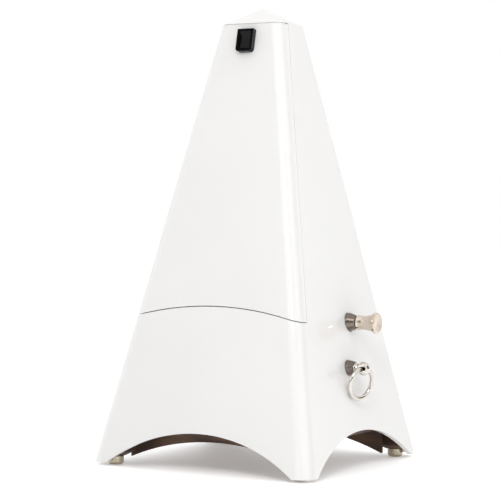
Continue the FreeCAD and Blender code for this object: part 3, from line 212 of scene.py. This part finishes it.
FINISHES = {
    "white_lacquer": lacquer(),
    "black_plastic": black_plastic(),
    "spring_steel": metal(
        "spring_steel",
        dark=(0.30, 0.30, 0.31),
        light=(0.46, 0.46, 0.47),
        rough=(0.25, 0.42),
    ),
    "dark_wood": dark_wood(),
    "bright_nickel": metal(
        "bright_nickel",
        dark=(0.60, 0.57, 0.52),
        light=(0.73, 0.70, 0.65),
        rough=(0.05, 0.12),
        depth=0.000003,
    ),
    "champagne_nickel": metal(
        "champagne_nickel",
        dark=(0.60, 0.51, 0.42),
        light=(0.72, 0.63, 0.54),
        rough=(0.08, 0.18),
        depth=0.000003,
    ),
    "dark_nickel": metal(
        "dark_nickel",
        dark=(0.16, 0.13, 0.11),
        light=(0.26, 0.22, 0.19),
        rough=(0.16, 0.30),
        depth=0.000003,
    ),
    "plate_steel": metal(
        "plate_steel",
        dark=(0.42, 0.42, 0.42),
        light=(0.56, 0.56, 0.55),
        rough=(0.28, 0.48),
        grain=(1, 1, 0.04),
        scale=1400.0,
    ),
    "brass": metal(
        "brass",
        dark=(0.55, 0.37, 0.13),
        light=(0.72, 0.52, 0.22),
        rough=(0.20, 0.36),
        grain=(1, 0.2, 0.2),
        scale=900.0,
    ),
    "blued_steel": metal(
        "blued_steel",
        dark=(0.05, 0.06, 0.09),
        light=(0.13, 0.14, 0.18),
        rough=(0.20, 0.36),
    ),
    "polished_steel": metal(
        "polished_steel",
        dark=(0.56, 0.56, 0.57),
        light=(0.68, 0.68, 0.69),
        rough=(0.12, 0.26),
        grain=(1, 1, 0.03),
        scale=1600.0,
    ),
    "lead": lead(),
    "weight_metal": metal(
        "satin_weight",
        dark=(0.50, 0.49, 0.47),
        light=(0.64, 0.63, 0.61),
        rough=(0.24, 0.38),
        grain=(0.05, 1, 1),
        scale=1300.0,
    ),
    "board_black": painted_board(),
    "foot_metal": metal(
        "worn_nickel",
        dark=(0.34, 0.29, 0.21),
        light=(0.52, 0.47, 0.38),
        rough=(0.14, 0.30),
        depth=0.000004,
    ),
    "scale_metal": metal(
        "scale_metal",
        dark=(0.66, 0.60, 0.46),
        light=(0.80, 0.75, 0.62),
        rough=(0.26, 0.40),
        grain=(0.05, 1, 1),
        scale=1300.0,
    ),
}

for node in NODES.values():
    for held in node.material_slots:
        name = held.material.name.split(".")[0]
        if name in FINISHES:
            held.material = FINISHES[name]

for name, node in NODES.items():
    if name.startswith("foot_"):
        for held in node.material_slots:
            held.material = FINISHES["foot_metal"]


# ---------------------------------------------------------------- beads and boards

GAP = 0.4 * MM  # between the cover's top edge and the foot of the roof
BEAD_OUT, BEAD_IN = 0.35 * MM, 2.2 * MM  # a bead's two edges, in from the case's face
SHELL_LOW, SHELL_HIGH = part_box("case_shell")
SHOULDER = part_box("front_cover")[1].z + GAP


def shoulder_half(axis):
    """Half the case's size along X or Y at the foot of the roof."""
    shell = NODES["case_shell"]
    places = (shell.matrix_world @ v.co for v in shell.data.vertices)
    return max(p[axis] for p in places if abs(p.z - SHOULDER) < 0.02 * MM)


HALF_TOP = shoulder_half(0), shoulder_half(1)


def half_at(axis, z):
    """Half the case's size along X or Y at a height."""
    share = (z - SHELL_LOW.z) / (SHOULDER - SHELL_LOW.z)
    return SHELL_HIGH[axis] + (HALF_TOP[axis] - SHELL_HIGH[axis]) * share


def new_piece(name, mesh, body, slot_name):
    shape = bpy.data.meshes.new(name)
    bmesh.ops.recalc_face_normals(mesh, faces=mesh.faces)
    mesh.to_mesh(shape)
    mesh.free()
    piece = placed(name, shape)
    shape.materials.append(FINISHES[slot_name])
    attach(piece, body)
    return piece


def bar_along(name, outer, inner, half_thick, body, slot_name):
    """A four-sided bar between two paths, half_thick to each side of them."""
    mesh = bmesh.new()
    rings = [
        [mesh.verts.new(p) for p in (a + t, b + t, b - t, a - t)]
        for a, b, t in zip(outer, inner, half_thick)
    ]
    for ring, following in zip(rings, rings[1:]):
        for corner in range(4):
            beside = (corner + 1) % 4
            mesh.faces.new(
                (ring[corner], ring[beside], following[beside], following[corner])
            )
    mesh.faces.new(rings[0])
    mesh.faces.new(reversed(rings[-1]))
    return new_piece(name, mesh, body, slot_name)


def side_bead(name, side):
    """The case's white bead behind the cover's edge, up one side wall."""
    cover_low, cover_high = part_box("front_cover")
    setback = 7.8 * MM
    heights = [cover_low.z + 1.2 * MM, (cover_low.z + cover_high.z) / 2, cover_high.z]

    def path(inset):
        return [
            Vector((side * (half_at(0, z) - inset), setback - half_at(1, z), z))
            for z in heights
        ]

    thick = [Vector((0, 0.17 * MM, 0))] * len(heights)
    return bar_along(
        name, path(BEAD_OUT), path(BEAD_IN), thick, "case", "white_lacquer"
    )


def top_bead():
    """The same bead across the top of the cover, round its two corners."""
    radius, steps = 5.6 * MM, 10
    z = SHOULDER - GAP / 2

    def path(inset):
        reach = radius - inset
        middle_x, middle_y = HALF_TOP[0] - radius, HALF_TOP[1] - radius
        points = []
        for side in (-1, 1):
            turns = [math.pi / 2 * step / steps for step in range(steps + 1)]
            arc = [
                Vector(
                    (
                        side * (middle_x + reach * math.cos(turn)),
                        -(middle_y + reach * math.sin(turn)),
                        z,
                    )
                )
                for turn in turns
            ]
            points += arc if side < 0 else arc[::-1]
        return points

    outer, inner = path(BEAD_OUT), path(BEAD_IN)
    thick = [Vector((0, 0, 0.16 * MM))] * len(outer)
    return bar_along("top_bead", outer, inner, thick, "case", "white_lacquer")


def skirt_end(name, side, depth_side):
    """A board that carries the tray's arched skirt on to the case's side wall."""
    radius, crown = 123 * MM, SHELL_LOW.z + 10.7 * MM
    start, end, steps = 38.9 * MM, 47.5 * MM, 8
    y, top = depth_side * 38 * MM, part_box("bottom_tray")[1].z - 1.9 * MM
    lower, upper = [], []
    for step in range(steps + 1):
        x = start + (end - start) * step / steps
        under = crown - radius + math.sqrt(radius**2 - x**2)
        lower.append(Vector((side * x, y, under)))
        upper.append(Vector((side * x, y, top)))
    thick = [Vector((0, 1.0 * MM, 0))] * (steps + 1)
    return bar_along(name, lower, upper, thick, "case", "dark_wood")


side_bead("left_bead", -1)
side_bead("right_bead", 1)
top_bead()
for face, depth_side in (("front", -1), ("rear", 1)):
    for hand, side in (("left", -1), ("right", 1)):
        skirt_end(f"skirt_end_{face}_{hand}", side, depth_side)


# ---------------------------------------------------------------- the beat scale


def ink():
    made = Shader("engraved_ink", (0.01, 0.01, 0.01), 0.55)
    cloudy = made.noise(2500.0)
    made.colour_from(made.blend(cloudy, (0.006, 0.006, 0.006), (0.03, 0.03, 0.03)))
    made.bump(made.noise(3000.0), 0.00001, 0.6)
    return made.material


INK = ink()
SCALE_NUMBERS = [
    *range(40, 60, 2),
    *range(60, 72, 3),
    *range(72, 120, 4),
    *range(120, 144, 6),
    *range(144, 209, 8),
]
SCALE_MARGIN = 3 * MM  # from the strip's ends to the first and last lines
LINE_WIDTH = 0.12 * MM


def scale_frame():
    """The scale's front face as a frame, X right and Y up it, and half its length."""
    strip = NODES["tempo_scale"]
    corners = [strip.matrix_world @ v.co for v in strip.data.vertices]
    middle = sum(corners, Vector()) / len(corners)
    top = max(corners, key=lambda c: c.z)
    bottom = min(corners, key=lambda c: c.z)
    across = Vector((1.0, 0.0, 0.0))
    facing = min(strip.data.polygons, key=lambda f: f.normal.y).normal.normalized()
    up = facing.cross(across)
    half = (top - bottom).dot(up) / 2
    depth = max((c - middle).dot(facing) for c in corners)
    origin = middle + facing * (depth + 0.00002)
    turn = Matrix((across, up, facing)).transposed().to_4x4()
    return Matrix.Translation(origin) @ turn, half


def printed_scale():
    """The lines and numbers of the scale, one thin mesh on the strip's face."""
    place, half = scale_frame()
    lines = bmesh.new()
    pitch = 2 * (half - SCALE_MARGIN) / (len(SCALE_NUMBERS) - 1)
    for index, number in enumerate(SCALE_NUMBERS):
        height = half - SCALE_MARGIN - index * pitch
        side = -1 if index % 2 else 1
        add_line(lines, side * 1.2 * MM, side * 3.6 * MM, height)
        add_number(lines, str(number), side * 5.4 * MM, height)
    for side in (-1, 1):
        add_bar(lines, side * 0.9 * MM, half - 2 * MM)
    shape = bpy.data.meshes.new("scale_print")
    lines.to_mesh(shape)
    lines.free()
    printed = placed("scale_print", shape)
    printed.matrix_world = place
    shape.materials.append(INK)
    return printed


def add_quad(mesh, corners):
    mesh.faces.new([mesh.verts.new((x, y, 0.0)) for x, y in corners])


def add_line(mesh, start, end, height, thick=LINE_WIDTH):
    low, high = height - thick / 2, height + thick / 2
    left, right = min(start, end), max(start, end)
    add_quad(mesh, [(left, low), (right, low), (right, high), (left, high)])


def add_bar(mesh, x, half, thick=LINE_WIDTH):
    left, right = x - thick / 2, x + thick / 2
    add_quad(mesh, [(left, -half), (right, -half), (right, half), (left, half)])


def add_number(mesh, text, x, y, size=1.75 * MM):
    """The digits of a tempo, centred on (x, y)."""
    letters = bpy.data.curves.new("digits", "FONT")
    letters.body = text
    letters.size = size
    letters.align_x = "CENTER"
    letters.align_y = "CENTER"
    holder = bpy.data.objects.new("digits", letters)
    flat = bpy.data.meshes.new_from_object(holder)
    flat.transform(Matrix.Translation((x, y, 0.0)))
    mesh.from_mesh(flat)
    bpy.data.meshes.remove(flat)
    bpy.data.objects.remove(holder)
    bpy.data.curves.remove(letters)


scale_print = printed_scale()
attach(scale_print, "case")


# ---------------------------------------------------------------- floor, light, camera


def floor():
    made = Shader("pale_floor", (0.93, 0.93, 0.93), 0.5)
    made.set("Specular IOR Level", 0.3)
    made.set("Emission Color", (1.0, 0.985, 0.97, 1.0))
    made.set("Emission Strength", 0.30)
    made.roughness_from(made.noise(8.0), 0.45, 0.6)
    made.bump(made.noise(60.0), 0.00002, 0.3)
    shape = bpy.data.meshes.new("floor")
    reach = 6.0
    shape.from_pydata(
        [(x * reach, y * reach, 0) for x, y in ((-1, -1), (1, -1), (1, 1), (-1, 1))],
        [],
        [(0, 1, 2, 3)],
    )
    ground = placed("floor", shape)
    shape.materials.append(made.material)


def surroundings(strength):
    world = bpy.data.worlds.new("studio")
    bpy.context.scene.world = world
    world.use_nodes = True
    backdrop = world.node_tree.nodes["Background"]
    backdrop.inputs["Color"].default_value = (1, 1, 1, 1)
    backdrop.inputs["Strength"].default_value = strength


def softbox(name, place, target, size, power):
    light = bpy.data.lights.new(name, "AREA")
    light.shape = "RECTANGLE"
    light.size, light.size_y = size
    light.energy = power
    holder = placed(name, light)
    holder.location = place
    away = Vector(place) - Vector(target)
    holder.rotation_mode = "QUATERNION"
    holder.rotation_quaternion = away.to_track_quat("Z", "Y")


def overhead_sun(strength):
    light = bpy.data.lights.new("overhead", "SUN")
    light.energy = strength
    light.angle = math.radians(100)
    holder = placed("overhead", light)
    holder.rotation_euler = (math.radians(8), math.radians(6), 0)


def camera():
    """Level with the middle of the case, to the right of its front, a long lens."""
    azimuth, elevation = math.radians(29.47), math.radians(0.50)
    roll, distance = math.radians(0.603), 0.8595
    target = Vector((0.0, 0.0, 0.109))
    back = Vector(
        (
            math.sin(azimuth) * math.cos(elevation),
            -math.cos(azimuth) * math.cos(elevation),
            math.sin(elevation),
        )
    )
    right = Vector((math.cos(azimuth), math.sin(azimuth), 0.0))
    up = back.cross(right)
    rolled_right = right * math.cos(roll) + up * math.sin(roll)
    rolled_up = up * math.cos(roll) - right * math.sin(roll)
    lens = bpy.data.cameras.new("camera")
    lens.lens = 128.6
    lens.sensor_width = 36.0
    lens.shift_x = -0.0218
    lens.shift_y = -0.0328
    lens.clip_start, lens.clip_end = 0.01, 50.0
    holder = placed("camera", lens)
    turn = Matrix((rolled_right, rolled_up, back)).transposed().to_4x4()
    holder.matrix_world = Matrix.Translation(target + back * distance) @ turn
    bpy.context.scene.camera = holder


def flag(name, azimuth, width, distance=2.2, low=0.02, high=1.7, grey=0.05):
    """A plain card for the gloss to reflect, which the camera doesn't see."""
    made = Shader(name, (grey, grey, grey), 0.9)
    made.roughness_from(made.noise(4.0), 0.85, 0.95)
    shape = bpy.data.meshes.new(name)
    left, right = -width / 2, width / 2
    corners = [(left, low), (right, low), (right, high), (left, high)]
    shape.from_pydata([(x, 0.0, z) for x, z in corners], [], [(0, 1, 2, 3)])
    card = placed(name, shape)
    shape.materials.append(made.material)
    angle = math.radians(azimuth)
    card.location = (distance * math.sin(angle), -distance * math.cos(angle), 0.0)
    card.rotation_euler = (0.0, 0.0, angle)
    card.visible_camera = False
    card.visible_shadow = False


floor()
surroundings(1.0)
overhead_sun(0.3)
softbox("key", (0.20, -0.40, 0.37), (0.03, -0.03, 0.09), (0.10, 0.16), 0.62)
softbox("rim", (0.62, -0.62, 0.20), (0.0, 0.0, 0.1), (0.05, 0.5), 0.40)
flag("room_right", 32.0, 2.0)
flag("room_left", -32.0, 1.9)
flag("room_side", 112.0, 1.5)
camera()

bpy.context.scene.view_settings.view_transform = "Standard"
bpy.context.scene.view_settings.look = "None"
